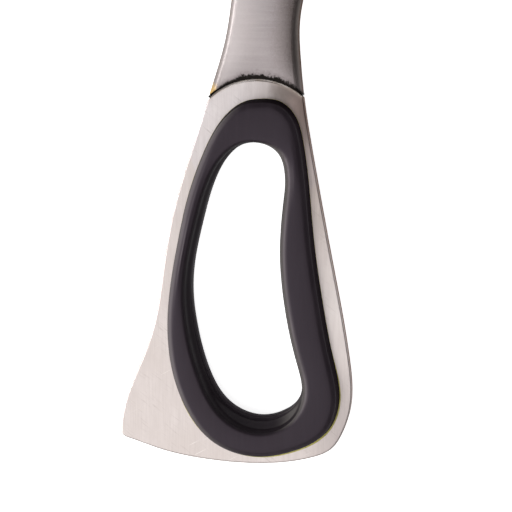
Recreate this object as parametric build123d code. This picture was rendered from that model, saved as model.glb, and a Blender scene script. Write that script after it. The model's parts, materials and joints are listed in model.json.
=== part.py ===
from build123d import *
import os
from dataclasses import dataclass
from math import atan2, cos, degrees, hypot, radians, sin, sqrt

# Right-handed fabric shears, 11 inch class, lying flat and part open. Millimetres.
# z = 0 is the surface they lie on and the Z axis is the pivot axis. +Y is the closed centre
# line of the finger half, from the handles to the blade tips. The finger half stays put: its
# bow is at -X and its blade at +X, on top. The thumb half is drawn in the same way, turned
# over, and swung by rest_opening about the pivot.

# --- overall sizes ---------------------------------------------------------------------------
blade_reach = 126.0          # pivot axis to the blade tips
finger_reach = 150.6         # pivot axis to the far end of the finger bow
finger_width = 66.1          # closed centre line to the outer corner of the finger bow
thumb_reach = 133.0
thumb_width = 61.6
grip_height = 13.0           # table to the top face of the grips
rest_opening = 54.0          # angle between the halves as they lie, degrees
full_opening = 64.0          # as far as they open

# --- steel -----------------------------------------------------------------------------------
plate_thickness = 3.0        # handle plates, half way up the grips
shank_thickness = 5.5
shank_rounding = 2.0         # long edges of the shanks
plate_rounding = 0.45
flare_corner = 2.2           # outer bottom corner of each handle plate
seam_reach = 0.775           # the weld's arc is used this far to each side, of its radius
weld_width = 0.8
weld_proud = 0.3             # above and below the plate
blade_thickness = 3.3        # at the boss
tip_thickness = 1.7
boss_radius = 14.5
relief_gap = 2.3             # the shanks are cut to half their thickness this far round the boss,
                             # or further where the other blade's back passes
relief_clearance = 0.5       # between a shank and what crosses it, shut or fully open
neck_length = 24.0           # from the pivot axis, where the boss has run down to the shank
neck_start = 12.0
neck_inset = 1.0
boss_chamfer = 0.5
blade_gap = 0.1              # between the two inner faces
blade_back = 15.2            # closed centre line to the blade's back at the heel
heel_overlap = 1.8           # the cutting edges pass the centre line by this much
tip_overlap = 0.6
heel_start = 14.0            # pivot axis to the start of the cutting edge
grind_width = 9.5            # ground face, from the edge towards the back
grind_edge_heel = 1.25       # thickness left above the cutting bevel
grind_edge_tip = 0.75
bevel_width = 1.4            # sharpened bevel
bevel_edge = 0.12            # flat left on the cutting edge
hollow_depth = 0.25          # hollow grind of the inner faces
hollow_radius = 70.0
hollow_start = 22.0
hollow_tip_margin = 9.0
finger_tip_rounding = 0.5
thumb_tip_rounding = 2.2

# --- grips -----------------------------------------------------------------------------------
rim_cover = 2.0              # the shells lap the plate by this much round its opening
tongue_clearance = 0.12      # between a shell's tongue and the plate's opening
shell_draft = 0.7            # the outer wall leans in by this much
inner_run = 1.7              # the inner wall leans out by this much
edge_break = 0.8             # bevel round the top face
parting_gap = 0.1            # between the two shells where they meet in the hole
pin_radius = 1.2
pin_length = 7.0
pin_clearance = 0.05

# --- pivot -----------------------------------------------------------------------------------
shoulder_radius = 4.0        # the bolt's bearing length
flat_distance = 3.4          # flat on the bolt's neck that stops it turning in the finger blade
thread_radius = 3.0
running_clearance = 0.05     # radial, and the axial play of faces that slide
seat_clearance = 0.02
head_radius = 7.5
head_height = 2.0
head_edge = 1.1              # straight part of the head's height
slot_width = 1.6
slot_depth = 1.0
head_washer_radius = 8.4
head_washer_thickness = 0.5
bush_wall = 1.0
thrust_washer_radius = 8.0
thrust_washer_thickness = 0.8
recess_play = 0.3            # radial, round the thrust washer in the finger blade
glide_radius = 8.6
glide_thickness = 0.45
spring_radius = 6.8
spring_height = 0.5
spring_section = 0.22
nut_radius = 7.0
nut_height = 2.9
nut_floor = 0.4
nut_chamfer = 0.35
nut_flutes = 12
flute_radius = 0.9
lock_ring_wall = 1.3
lock_ring_height = 1.0
bolt_end_gap = 0.35          # between the bolt's end and the nut's floor

# --- stop ------------------------------------------------------------------------------------
stop_distance = 38.5         # pivot axis to the rubber stop, along the shank
stop_radius = 2.2
stop_stem_radius = 1.1
stop_stem_length = 5.0
stop_sink = 0.6              # depth of the stop's seat in the shank's edge
stop_gap = 0.3               # left between stop and finger shank when the shears are shut

# --- heights worked out from the stack at the pivot -------------------------------------------
spring_bottom = nut_height
glide_bottom = spring_bottom + spring_height + running_clearance
thumb_underside = glide_bottom + glide_thickness
mating_height = thumb_underside + blade_thickness + blade_gap / 2
finger_top = mating_height + blade_gap / 2 + blade_thickness
head_bottom = finger_top + head_washer_thickness
plate_middle = grip_height / 2
plate_bottom = plate_middle - plate_thickness / 2
plate_top = plate_middle + plate_thickness / 2
tool_reach = 400.0           # larger than the shears, for half-space cutters


@dataclass
class Bow:
    """One handle. Outlines are (across, along) shares of its width and reach, handle at -X."""
    reach: float
    width: float
    outer: list      # outer edge of the steel, from the shank to the flare's corner
    inner: list      # along the far end and back up the inner edge to the shank
    ring: list       # foot of the grip on the plate
    hole: list       # the grip's hole at its narrowest, half way up
    pins: list
    seam: tuple      # centre of the weld's arc
    seam_radius: float

    def at(self, share):
        return (-share[0] * self.width, -share[1] * self.reach)

    def points(self, shares):
        return [self.at(share) for share in shares]


finger_bow = Bow(
    reach=finger_reach, width=finger_width,
    outer=[(0.287, 0.171), (0.335, 0.238), (0.403, 0.304), (0.514, 0.404), (0.626, 0.505),
           (0.711, 0.609), (0.758, 0.679), (0.823, 0.750), (0.915, 0.819), (0.982, 0.880),
           (1.000, 0.918)],
    inner=[(1.000, 0.918), (0.929, 0.933), (0.846, 0.951), (0.738, 0.969), (0.613, 0.984),
           (0.482, 0.995), (0.342, 1.000), (0.228, 0.997), (0.144, 0.986), (0.079, 0.953),
           (0.042, 0.918), (0.024, 0.882), (0.018, 0.823), (0.021, 0.754), (0.033, 0.645),
           (0.044, 0.537), (0.053, 0.430), (0.055, 0.359), (0.048, 0.290), (0.029, 0.222),
           (0.006, 0.189)],
    ring=[(0.231, 0.347), (0.313, 0.351), (0.395, 0.375), (0.481, 0.424), (0.581, 0.507),
          (0.641, 0.576), (0.694, 0.646), (0.732, 0.717), (0.744, 0.790), (0.717, 0.866),
          (0.613, 0.946), (0.427, 0.982), (0.297, 0.979), (0.142, 0.950), (0.079, 0.897),
          (0.080, 0.824), (0.092, 0.714), (0.092, 0.606), (0.080, 0.500), (0.080, 0.429),
          (0.110, 0.374), (0.168, 0.352)],
    hole=[(0.283, 0.422), (0.340, 0.425), (0.389, 0.438), (0.466, 0.480), (0.539, 0.549),
          (0.598, 0.619), (0.625, 0.671), (0.634, 0.727), (0.619, 0.803), (0.551, 0.881),
          (0.415, 0.916), (0.276, 0.900), (0.231, 0.869), (0.235, 0.818), (0.250, 0.744),
          (0.251, 0.684), (0.234, 0.600), (0.198, 0.530), (0.175, 0.475), (0.189, 0.446),
          (0.230, 0.429)],
    pins=[(0.257, 0.385), (0.157, 0.558), (0.186, 0.717), (0.416, 0.943), (0.640, 0.843)],
    seam=(0.272, 0.445), seam_radius=0.303 * finger_width)

thumb_bow = Bow(
    reach=thumb_reach, width=thumb_width,
    outer=[(0.307, 0.194), (0.357, 0.269), (0.438, 0.346), (0.568, 0.444), (0.682, 0.541),
           (0.756, 0.635), (0.800, 0.711), (0.857, 0.778), (0.935, 0.842), (0.987, 0.895),
           (1.000, 0.925)],
    inner=[(1.000, 0.925), (0.877, 0.950), (0.722, 0.979), (0.552, 0.997), (0.390, 1.000),
           (0.244, 0.983), (0.127, 0.943), (0.058, 0.880), (0.032, 0.797), (0.026, 0.692),
           (0.036, 0.571), (0.052, 0.466), (0.058, 0.406), (0.052, 0.329), (0.031, 0.251),
           (0.006, 0.214)],
    ring=[(0.260, 0.394), (0.373, 0.403), (0.479, 0.444), (0.593, 0.523), (0.682, 0.617),
          (0.734, 0.707), (0.747, 0.797), (0.701, 0.883), (0.584, 0.949), (0.422, 0.977),
          (0.260, 0.961), (0.143, 0.910), (0.094, 0.827), (0.084, 0.722), (0.086, 0.602),
          (0.091, 0.496), (0.130, 0.427), (0.187, 0.403)],
    hole=[(0.305, 0.501), (0.396, 0.516), (0.484, 0.568), (0.562, 0.647), (0.607, 0.729),
          (0.604, 0.809), (0.529, 0.874), (0.412, 0.899), (0.302, 0.877), (0.244, 0.817),
          (0.231, 0.729), (0.226, 0.639), (0.211, 0.564), (0.231, 0.516)],
    pins=[(0.284, 0.450), (0.159, 0.662), (0.170, 0.827), (0.422, 0.938), (0.665, 0.782)],
    seam=(0.292, 0.504), seam_radius=0.325 * thumb_width)

# Where each outline meets the boss, as shares of the boss radius.
boss_outer = (-0.86, -0.41)
boss_inner = (0.655, -0.55)
# Back of the blade: distances along as shares of blade_reach, across as shares of blade_back.
blade_back_line = [(0.755, 0.56), (0.436, 0.86), (0.16, 1.0), (0.02, 0.93)]


# --- drawing helpers -------------------------------------------------------------------------
def grown(points, amount):
    """The closed outline with each point moved out along its normal, or in if negative."""
    count = len(points)
    pairs = [(points[i], points[(i + 1) % count]) for i in range(count)]
    turn = 1 if sum(a[0] * b[1] - b[0] * a[1] for a, b in pairs) > 0 else -1
    moved = []
    for i, (x, y) in enumerate(points):
        before, after = points[i - 1], points[(i + 1) % count]
        dx, dy = after[0] - before[0], after[1] - before[1]
        size = hypot(dx, dy)
        moved.append((x + turn * amount * dy / size, y - turn * amount * dx / size))
    return moved


def loop_face(points, height=0.0):
    return make_face(Spline(*[(x, y, height) for x, y in points], periodic=True))


def loop_solid(points, bottom, top):
    return extrude(loop_face(points, bottom), top - bottom)


def loop_loft(levels):
    """A solid through the same outline at several heights: [(points, height), ...]."""
    return loft([loop_face(points, height) for points, height in levels], ruled=True)


def upright(radius, bottom, top, x=0.0, y=0.0):
    middle = (bottom + top) / 2
    return Pos(x, y, middle) * Cylinder(radius, top - bottom)


def washer(inner, outer, bottom, top):
    return upright(outer, bottom, top) - upright(inner, bottom - 1, top + 1)


def long_edges(solid, thickness):
    """The curved edges of an extruded outline's two faces."""
    return [e for e in solid.edges()
            if e.geom_type == GeomType.BSPLINE and e.length > 1.5 * thickness]


def cut_above(solid, a, b, c):
    """What lies below the plane through three points."""
    a, b, c = Vector(*a), Vector(*b), Vector(*c)
    normal = (b - a).cross(c - a)
    if normal.Z < 0:
        normal = normal * -1
    return split(solid, bisect_by=Plane(origin=a, z_dir=normal), keep=Keep.BOTTOM)


# --- steel -----------------------------------------------------------------------------------
def steel_outline(bow, inset=0.0):
    """Shank and handle plate in one face, from inside the boss to the far end."""
    start = tuple(boss_radius * share for share in boss_outer)
    end = tuple(boss_radius * share for share in boss_inner)
    outer = [start] + bow.points(bow.outer)
    inner = bow.points(bow.inner) + [end]
    if inset:
        whole = grown(outer + inner[1:], -inset)
        outer, inner = whole[:len(outer)], whole[len(outer) - 1:]
    return make_face([Spline(*outer), Spline(*inner), Line(inner[-1], outer[0])])


def below_seam(bow, shift, bottom, top):
    """The handle's side of the seam's arc, moved by shift towards the shank."""
    x, y = bow.at(bow.seam)
    level = y + bow.seam_radius * sqrt(1 - seam_reach**2) + shift
    depth = Pos(x, level - tool_reach / 2, (bottom + top) / 2) * Box(
        tool_reach, tool_reach, top - bottom)
    return upright(bow.seam_radius + shift, bottom, top, x, y) + depth


def handle_plate(bow):
    plate = extrude(Pos(0, 0, plate_bottom) * steel_outline(bow), plate_thickness)
    corner = Vector(*bow.at(bow.outer[-1]), plate_middle)
    uprights = plate.edges().filter_by(Axis.Z)
    plate = fillet(uprights.sort_by_distance(corner)[0], flare_corner)
    plate &= below_seam(bow, -weld_width / 2, plate_bottom - 1, plate_top + 1)
    plate = fillet(long_edges(plate, plate_thickness), plate_rounding)
    opening = grown(bow.points(bow.ring), -rim_cover)
    return plate - loop_solid(opening, plate_bottom - 1, plate_top + 1)


def weld_seam(bow):
    bottom, top = plate_bottom - weld_proud, plate_top + weld_proud
    strip = extrude(Pos(0, 0, bottom) * steel_outline(bow, weld_proud), top - bottom)
    strip &= below_seam(bow, weld_width / 2, bottom - 1, top + 1)
    return strip - below_seam(bow, -weld_width / 2, bottom - 1, top + 1)


def blade(tip_rounding):
    """Blade and boss above z = 0, the middle of the gap, with the cutting edge at -X."""
    face, top = blade_gap / 2, blade_gap / 2 + blade_thickness
    back = [(x * blade_back, y * blade_reach) for y, x in blade_back_line]
    heel, tip = (-heel_overlap, heel_start), (-tip_overlap, blade_reach)
    tip_back = (tip_overlap, blade_reach - tip_overlap)
    foot = (-heel_overlap, back[-1][1])
    outline = make_face([Line(heel, tip), Line(tip, tip_back), Spline(tip_back, *back),
                         Line(back[-1], foot), Line(foot, heel)])
    slab = extrude(Pos(0, 0, face) * outline, blade_thickness)
    tip_edges = slab.edges().filter_by(Axis.Z).sort_by(Axis.Y)[-2:]
    slab = fillet(tip_edges[0:1], tip_rounding) if tip_rounding > 1 else slab
    slab = cut_above(slab, (0, 2 * heel_start, top), (1, 2 * heel_start, top),
                     (0, blade_reach, face + tip_thickness))
    slab = cut_above(slab, (*heel, face + grind_edge_heel), (*tip, face + grind_edge_tip),
                     (heel[0] + grind_width, heel[1], top))
    slab = cut_above(slab, (*heel, face + bevel_edge), (*tip, face + bevel_edge),
                     (heel[0] + bevel_width, heel[1], face + bevel_edge + bevel_width))
    hollow_length = blade_reach - hollow_tip_margin - hollow_start
    hollow = Pos(blade_back / 2 - heel_overlap, hollow_start + hollow_length / 2,
                 face + hollow_depth - hollow_radius) * Rot(90, 0, 0) * Cylinder(
                     hollow_radius, hollow_length)
    boss = chamfer(upright(boss_radius, face, top).edges().sort_by(Axis.Z)[-1], boss_chamfer)
    return (slab - hollow) + boss


def passing_radius(bow):
    """Distance from the axis at which the other blade's back meets the shank, fully open."""
    turn = radians(full_opening)
    start, end = Vector(*(boss_radius * share for share in boss_outer)), Vector(*bow.at(bow.outer[0]))
    depths = [-point.X * cos(turn) - point.Y * sin(turn) for point in (start, end)]
    share = (blade_back + relief_clearance - depths[0]) / (depths[1] - depths[0])
    return (start + (end - start) * share).length


def shank(bow, other, middle):
    """Shank from the seam into the boss, about the height middle, in the blade's own frame.

    Near the pivot, where the other half's shank crosses it when shut, and where the other
    blade's back reaches it when fully open, only the blade's side of the thickness is left.
    """
    bottom, top = middle - shank_thickness / 2, middle + shank_thickness / 2
    bar = extrude(Pos(0, 0, bottom) * steel_outline(bow), shank_thickness)
    bar -= below_seam(bow, weld_width / 2, bottom - 1, top + 1)
    bar = fillet(long_edges(bar, shank_thickness), shank_rounding)
    face, boss_top = blade_gap / 2, blade_gap / 2 + blade_thickness
    crossing = mirror(steel_outline(other, -relief_clearance), Plane.YZ)
    bar -= extrude(Pos(0, 0, bottom - 1) * crossing, face - bottom + 1)
    relief_radius = max(boss_radius + relief_gap, passing_radius(bow) + relief_clearance)
    bar -= upright(relief_radius, bottom - 1, face)
    bar -= upright(relief_radius, boss_top, boss_top + shank_thickness)
    neck = extrude(Pos(0, 0, face) * steel_outline(bow, neck_inset), blade_thickness)
    neck &= Pos(0, -neck_length / 2, face + blade_thickness / 2) * Box(
        tool_reach, neck_length, blade_thickness)
    low = min(top, boss_top) - shank_rounding / 4
    neck = cut_above(neck, (0, -neck_start, boss_top), (1, -neck_start, boss_top),
                     (0, -neck_length, low))
    return bar + neck


def blade_half(bow, other, middle, tip_rounding):
    return blade(tip_rounding) + shank(bow, other, middle)


def finger_place(solid):
    return Pos(0, 0, mating_height) * solid


def thumb_place(solid):
    """Turned over about the centre line, then swung open."""
    return Rot(0, 0, rest_opening) * Pos(0, 0, mating_height) * Rot(0, 180, 0) * solid


def thumb_handle(solid):
    """A handle piece is the same above and below the plate, so it is only mirrored."""
    return Rot(0, 0, rest_opening) * mirror(solid, Plane.YZ)


def finger_blade():
    steel = blade_half(finger_bow, thumb_bow, plate_middle - mating_height, finger_tip_rounding)
    steel = finger_place(steel)
    neck = upright(shoulder_radius + seat_clearance, mating_height - 1, finger_top + 1)
    keep = Pos(flat_distance + seat_clearance - tool_reach / 2, 0, mating_height) * Box(
        tool_reach, tool_reach, tool_reach)
    steel -= neck & keep
    recess_top = mating_height + thrust_washer_thickness / 2 + running_clearance
    recess_radius = thrust_washer_radius + recess_play
    return steel - upright(recess_radius, mating_height - 1, recess_top)


def thumb_blade():
    steel = blade_half(thumb_bow, finger_bow, mating_height - plate_middle, thumb_tip_rounding)
    steel = thumb_place(steel)
    recess_floor = mating_height - thrust_washer_thickness / 2
    steel -= upright(thrust_washer_radius + seat_clearance, recess_floor, mating_height + 1)
    steel -= upright(bush_outer + seat_clearance, thumb_underside - 1, mating_height)
    return steel - stop_bumper(seat_clearance)


# --- grips -----------------------------------------------------------------------------------
def grip_shell(bow):
    """Front shell: a rounded ring on the plate with a tongue into its opening."""
    ring, hole = bow.points(bow.ring), bow.points(bow.hole)
    split_level = plate_middle + parting_gap / 2
    shoulder = grip_height - edge_break
    body = loop_loft([(ring, plate_top), (grown(ring, -shell_draft), shoulder),
                      (grown(ring, -shell_draft - edge_break), grip_height)])
    tongue = loop_solid(grown(ring, -rim_cover - tongue_clearance), split_level, plate_top)
    flare = inner_run * (shoulder - plate_middle) / (grip_height - plate_middle)
    well = loop_loft([(hole, plate_middle), (grown(hole, flare), shoulder),
                      (grown(hole, flare + edge_break), grip_height),
                      (grown(hole, flare + 2 * edge_break), grip_height + edge_break)])
    shell = body + tongue - well
    for share in bow.pins:
        shell -= upright(pin_radius + pin_clearance, split_level - 1,
                         plate_middle + pin_length / 2 + pin_clearance, *bow.at(share))
    return shell


def grip_back(bow):
    return mirror(grip_shell(bow), Plane.XY.offset(plate_middle))


def grip_pins(bow):
    half = pin_length / 2
    return [upright(pin_radius, plate_middle - half, plate_middle + half, *bow.at(share))
            for share in bow.pins]


# --- pivot -----------------------------------------------------------------------------------
bush_bore = shoulder_radius + running_clearance
bush_outer = bush_bore + bush_wall


def pivot_bolt():
    thread_top = glide_bottom - running_clearance
    dome_rise = head_height - head_edge
    profile = Polyline((0, nut_floor + bolt_end_gap), (thread_radius, nut_floor + bolt_end_gap),
                       (thread_radius, thread_top), (shoulder_radius, thread_top),
                       (shoulder_radius, head_bottom), (head_radius, head_bottom),
                       (head_radius, head_bottom + head_edge))
    top = (0, head_bottom + head_height)
    start = (head_radius, head_bottom + head_edge)
    dome_radius = (head_radius**2 + dome_rise**2) / (2 * dome_rise)
    dome = RadiusArc(start, top, -dome_radius)
    axis_line = Line(top, (0, nut_floor + bolt_end_gap))
    section = make_face([profile, dome, axis_line])
    bolt = revolve(Plane.XZ * section, Axis.Z)
    slot = Pos(0, 0, head_bottom + head_height) * Box(3 * head_radius, slot_width, 2 * slot_depth)
    flat_bottom = mating_height + thrust_washer_thickness / 2 + running_clearance
    flat = Pos(flat_distance + shoulder_radius, 0, (flat_bottom + head_bottom) / 2) * Box(
        2 * shoulder_radius, 2 * shoulder_radius, head_bottom - flat_bottom)
    return bolt - Rot(0, 0, 30) * slot - flat


def head_washer():
    return washer(shoulder_radius + running_clearance, head_washer_radius, finger_top, head_bottom)


def pivot_bush():
    top = mating_height - thrust_washer_thickness / 2
    return washer(bush_bore, bush_outer, thumb_underside, top)


def thrust_washer():
    half = thrust_washer_thickness / 2
    return washer(bush_bore, thrust_washer_radius, mating_height - half, mating_height + half)


def glide_washer():
    return washer(bush_bore, glide_radius, glide_bottom, thumb_underside)


def spring_washer():
    """Shallow cone: its rim rests on the nut, its bore rises towards the glide washer."""
    inner = thread_radius + 3 * running_clearance
    rise = spring_height - spring_section
    section = make_face(Polyline(
        (spring_radius, spring_bottom), (spring_radius, spring_bottom + spring_section),
        (inner, spring_bottom + spring_section + rise), (inner, spring_bottom + rise),
        close=True))
    return revolve(Plane.XZ * section, Axis.Z)


def lock_ring_outer():
    return thread_radius + running_clearance + lock_ring_wall


def tension_nut():
    nut = upright(nut_radius, 0, nut_height)
    nut = chamfer(nut.edges().filter_by(GeomType.CIRCLE), nut_chamfer)
    nut -= upright(thread_radius + running_clearance, nut_floor, nut_height + 1)
    nut -= upright(lock_ring_outer(), nut_height - lock_ring_height, nut_height + 1)
    for place in PolarLocations(nut_radius + flute_radius / 2, nut_flutes):
        nut -= place * upright(flute_radius, -1, nut_height + 1)
    return nut


def nut_lock_ring():
    return washer(thread_radius + running_clearance, lock_ring_outer(),
                  nut_height - lock_ring_height, nut_height - running_clearance)


# --- stop ------------------------------------------------------------------------------------
def inner_edge_at(bow, distance):
    """Across distance of the bow's inner edge from the closed centre line."""
    edge = Spline(*(bow.points(bow.inner)[1:] + [tuple(boss_radius * s for s in boss_inner)]))
    crossing = edge.intersect(Line((-tool_reach, -distance), (tool_reach, -distance)))
    return max(abs(point.X) for point in crossing.vertices() if abs(point.X) < stop_distance)


def stop_bumper(grow=0.0):
    """Rubber button on the thumb shank's inner edge, reaching the finger shank when shut."""
    seat = inner_edge_at(thumb_bow, stop_distance) + stop_sink
    reach = inner_edge_at(finger_bow, stop_distance) - stop_gap
    head_length = seat + reach
    along_x = Rot(0, 90, 0)
    head = Pos((seat - reach) / 2, -stop_distance, plate_middle) * along_x * Cylinder(
        stop_radius + grow, head_length)
    stem = Pos(seat + stop_stem_length / 2, -stop_distance, plate_middle) * along_x * Cylinder(
        stop_stem_radius + grow, stop_stem_length)
    return Rot(0, 0, rest_opening) * (head + stem)


# --- pieces ----------------------------------------------------------------------------------
os.makedirs("parts", exist_ok=True)
pieces = {
    "finger_blade": finger_blade(),
    "finger_handle_frame": handle_plate(finger_bow),
    "finger_weld_seam": weld_seam(finger_bow),
    "finger_grip_front": grip_shell(finger_bow),
    "finger_grip_back": grip_back(finger_bow),
    "finger_grip_pins": grip_pins(finger_bow),
    "thumb_blade": thumb_blade(),
    "thumb_handle_frame": thumb_handle(handle_plate(thumb_bow)),
    "thumb_weld_seam": thumb_handle(weld_seam(thumb_bow)),
    "thumb_grip_front": thumb_handle(grip_shell(thumb_bow)),
    "thumb_grip_back": thumb_handle(grip_back(thumb_bow)),
    "thumb_grip_pins": [thumb_handle(pin) for pin in grip_pins(thumb_bow)],
    "pivot_bolt": pivot_bolt(),
    "head_washer": head_washer(),
    "pivot_bush": pivot_bush(),
    "thrust_washer": thrust_washer(),
    "glide_washer": glide_washer(),
    "spring_washer": spring_washer(),
    "tension_nut": tension_nut(),
    "nut_lock_ring": nut_lock_ring(),
    "stop_bumper": stop_bumper(),
}
for name, piece in pieces.items():
    solids = piece if isinstance(piece, list) else piece.solids()
    shape = solids[0] if len(solids) == 1 else Compound(children=[s.solids()[0] for s in solids])
    export_step(shape, f"parts/{name}.step")
    print(name, len(solids), round(sum(s.volume for s in solids), 1))
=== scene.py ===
import json
from math import atan2, cos, pi, radians, sin

import bpy
import numpy as np
from mathutils import Matrix, Vector


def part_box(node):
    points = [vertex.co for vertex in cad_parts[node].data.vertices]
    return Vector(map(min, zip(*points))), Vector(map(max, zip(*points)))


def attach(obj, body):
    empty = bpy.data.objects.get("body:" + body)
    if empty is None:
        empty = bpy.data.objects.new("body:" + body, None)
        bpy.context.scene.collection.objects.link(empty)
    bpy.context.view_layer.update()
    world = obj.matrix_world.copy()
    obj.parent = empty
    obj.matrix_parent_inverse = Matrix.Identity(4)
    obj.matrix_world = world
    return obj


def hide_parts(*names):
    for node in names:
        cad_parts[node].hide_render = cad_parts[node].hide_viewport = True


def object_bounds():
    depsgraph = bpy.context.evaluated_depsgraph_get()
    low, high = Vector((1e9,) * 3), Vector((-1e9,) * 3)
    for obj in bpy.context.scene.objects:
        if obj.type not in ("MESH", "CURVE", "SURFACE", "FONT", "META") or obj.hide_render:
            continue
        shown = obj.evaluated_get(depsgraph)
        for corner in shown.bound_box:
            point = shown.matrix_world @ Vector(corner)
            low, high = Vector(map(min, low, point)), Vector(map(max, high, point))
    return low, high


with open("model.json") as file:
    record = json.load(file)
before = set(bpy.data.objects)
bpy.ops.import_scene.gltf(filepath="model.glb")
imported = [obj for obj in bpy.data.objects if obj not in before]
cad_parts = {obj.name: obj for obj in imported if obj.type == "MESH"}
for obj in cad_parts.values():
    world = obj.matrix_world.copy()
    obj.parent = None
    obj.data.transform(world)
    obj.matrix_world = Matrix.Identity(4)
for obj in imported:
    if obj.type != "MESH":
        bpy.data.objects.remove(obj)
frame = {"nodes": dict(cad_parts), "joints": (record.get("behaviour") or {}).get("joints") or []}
cad_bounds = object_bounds()
NODES = frame["nodes"]
MM = 0.001

# The thumb half lies open by this much, which is how far its joint can close.
REST_OPENING = -radians(next(j for j in frame["joints"] if j["name"] == "blade_pivot")["range_deg"][0])
HALVES = {"finger": ("finger_half", 0.0), "thumb": ("thumb_half", REST_OPENING)}


def bow_directions(half, turn):
    """Flat unit vectors towards a bow's inner edge, and along the bow towards the pivot."""
    side = 1 if half == "finger" else -1
    return np.array([side * cos(turn), side * sin(turn)]), np.array([-sin(turn), cos(turn)])


# --- camera, light and floor -------------------------------------------------------------------
VIEW_TARGET = Vector((-22.1, -93.6, 8.0)) * MM     # on the finger bow's plate
VIEW_FROM = Vector((0.1515, 0.1398, 1.0))          # the camera is above, a little right and forward
VIEW_DISTANCE = 500.0 * MM
VIEW_ROLL = radians(8.2)                           # the bow leans this much in the picture
VIEW_LENS = 131.8
LIGHTS_AIM = (-0.02, -0.10, 0.0)                   # the middle of the finger bow, in metres
PANEL = {"place": (-0.34, -0.52, 1.25), "size": (1.5, 1.3), "power": 8.3}
LEFT_SOFTBOX = {"place": (-1.20, -0.05, 0.70), "size": (1.3, 0.7), "power": 13.0}
ROOM_COLOUR = (1.0, 0.985, 0.975, 1.0)
# The room's strength falls with the height of the direction: 0 is level, 1 straight up.
ROOM_FADE = {"From Min": 0.15, "From Max": 0.60, "To Min": 0.34, "To Max": 0.16}
FLOOR_SIZE = 6.0
FLOOR_GAP = 0.05 * MM                              # keeps the floor off the undersides
FLOOR_GREY = 0.93
FLOOR_GLOW = 0.85


def add_camera():
    """The camera, looking down at the finger bow."""
    data = bpy.data.cameras.new("camera")
    data.lens = VIEW_LENS
    data.clip_start = 20 * MM
    camera = bpy.data.objects.new("camera", data)
    bpy.context.scene.collection.objects.link(camera)
    back = VIEW_FROM.normalized()
    up = Vector((sin(VIEW_ROLL), cos(VIEW_ROLL), 0.0))
    right = up.cross(back).normalized()
    turned = Matrix((right, back.cross(right), back)).transposed()
    camera.matrix_world = Matrix.Translation(VIEW_TARGET + back * VIEW_DISTANCE) @ turned.to_4x4()
    bpy.context.scene.camera = camera


def add_area(name, place, size, power):
    """An area light that faces the finger bow."""
    data = bpy.data.lights.new(name, "AREA")
    data.shape = "RECTANGLE"
    data.size, data.size_y = size
    data.energy = power
    light = bpy.data.objects.new(name, data)
    bpy.context.scene.collection.objects.link(light)
    light.location = place
    light.rotation_euler = (Vector(LIGHTS_AIM) - Vector(place)).to_track_quat("-Z", "Y").to_euler()


def add_studio():
    """A room with a dim ceiling and paler walls, a wide panel above and a softbox at the left."""
    bpy.context.scene.view_settings.view_transform = "Standard"
    world = bpy.data.worlds.new("studio")
    bpy.context.scene.world = world
    world.use_nodes = True
    tree = world.node_tree
    background = tree.nodes["Background"]
    background.inputs["Color"].default_value = ROOM_COLOUR
    split = tree.nodes.new("ShaderNodeSeparateXYZ")
    tree.links.new(tree.nodes.new("ShaderNodeTexCoord").outputs["Generated"], split.inputs[0])
    fade = tree.nodes.new("ShaderNodeMapRange")
    for key, value in ROOM_FADE.items():
        fade.inputs[key].default_value = value
    tree.links.new(split.outputs["Z"], fade.inputs["Value"])
    tree.links.new(fade.outputs[0], background.inputs["Strength"])
    add_area("panel", **PANEL)
    add_area("left_softbox", **LEFT_SOFTBOX)


def add_floor():
    """A pale light table, which hides most of its own shadows."""
    bpy.ops.mesh.primitive_grid_add(x_subdivisions=2, y_subdivisions=2, size=FLOOR_SIZE,
                                    location=(0, 0, cad_bounds[0][2] - FLOOR_GAP))
    floor = bpy.context.object
    floor.name = "floor"
    material = bpy.data.materials.new("light_table")
    material.use_nodes = True
    shader = material.node_tree.nodes["Principled BSDF"]
    shader.inputs["Base Color"].default_value = (FLOOR_GREY, FLOOR_GREY, FLOOR_GREY, 1)
    shader.inputs["Roughness"].default_value = 0.9
    shader.inputs["Emission Color"].default_value = (1, 1, 1, 1)
    shader.inputs["Emission Strength"].default_value = FLOOR_GLOW
    floor.data.materials.append(material)


# --- materials ---------------------------------------------------------------------------------
RINGS_PER_METRE = 2600                             # noise repeats across the turning marks
CAD_SHARP_ANGLE = radians(28)
# The shank's painted highlight and painted shade follow a bevel normal this wide.
CROWN_REACH = 13 * MM                              # how far the shank's edges shade its face
SCUFF_SLANT, STREAK_SLANT = 0.5, 0.9               # from the grain, in radians
OXIDE_FOOT = 0.42 * MM                             # oxide covers the shank this far from the arc,
OXIDE_MOST, OXIDE_LEAST = 0.80 * MM, 0.04 * MM     # and this much further at its most and least
OXIDE_THICKEST_AT = 0.26                           # across, from -1 (outer edge) to 1 (inner edge)
STRAW_ABOVE = 1.4 * MM                             # from the arc's outer end to the straw spot
BLOTCH_ANGLE, BLOTCH_BELOW = 0.52, 2.2 * MM        # along the arc in radians, and below it
# Middle of the painted light on the plate's inner strip, where the grip casts its shadow:
PAINTED_LIGHT_AT = 58 * MM                                # down the bow from the arc's inner end

# Linear base colours. A glance colour is a specular tint instead.
# Shank and blade:
SHANK_DARK = (0.35, 0.312, 0.316)
SHANK_LIGHT = (0.47, 0.422, 0.426)
SHANK_WARM = (0.40, 0.345, 0.335)
SHANK_WALL_GLANCE = (0.30, 0.24, 0.20)
# Painted highlight on the shank's outer edge, painted shade towards its inner edge:
OUTER_EDGE_PAINTED_HIGHLIGHT = (0.72, 0.655, 0.645)
INNER_EDGE_PAINTED_SHADE = (0.13, 0.100, 0.092)
INNER_EDGE_PAINTED_DEEP_SHADE = (0.045, 0.035, 0.032)
# Painted shade on the shank's roundings:
ROUNDING_PAINTED_SHADE = (0.22, 0.195, 0.185)
SHANK_WALL = (0.11, 0.083, 0.070)
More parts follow.
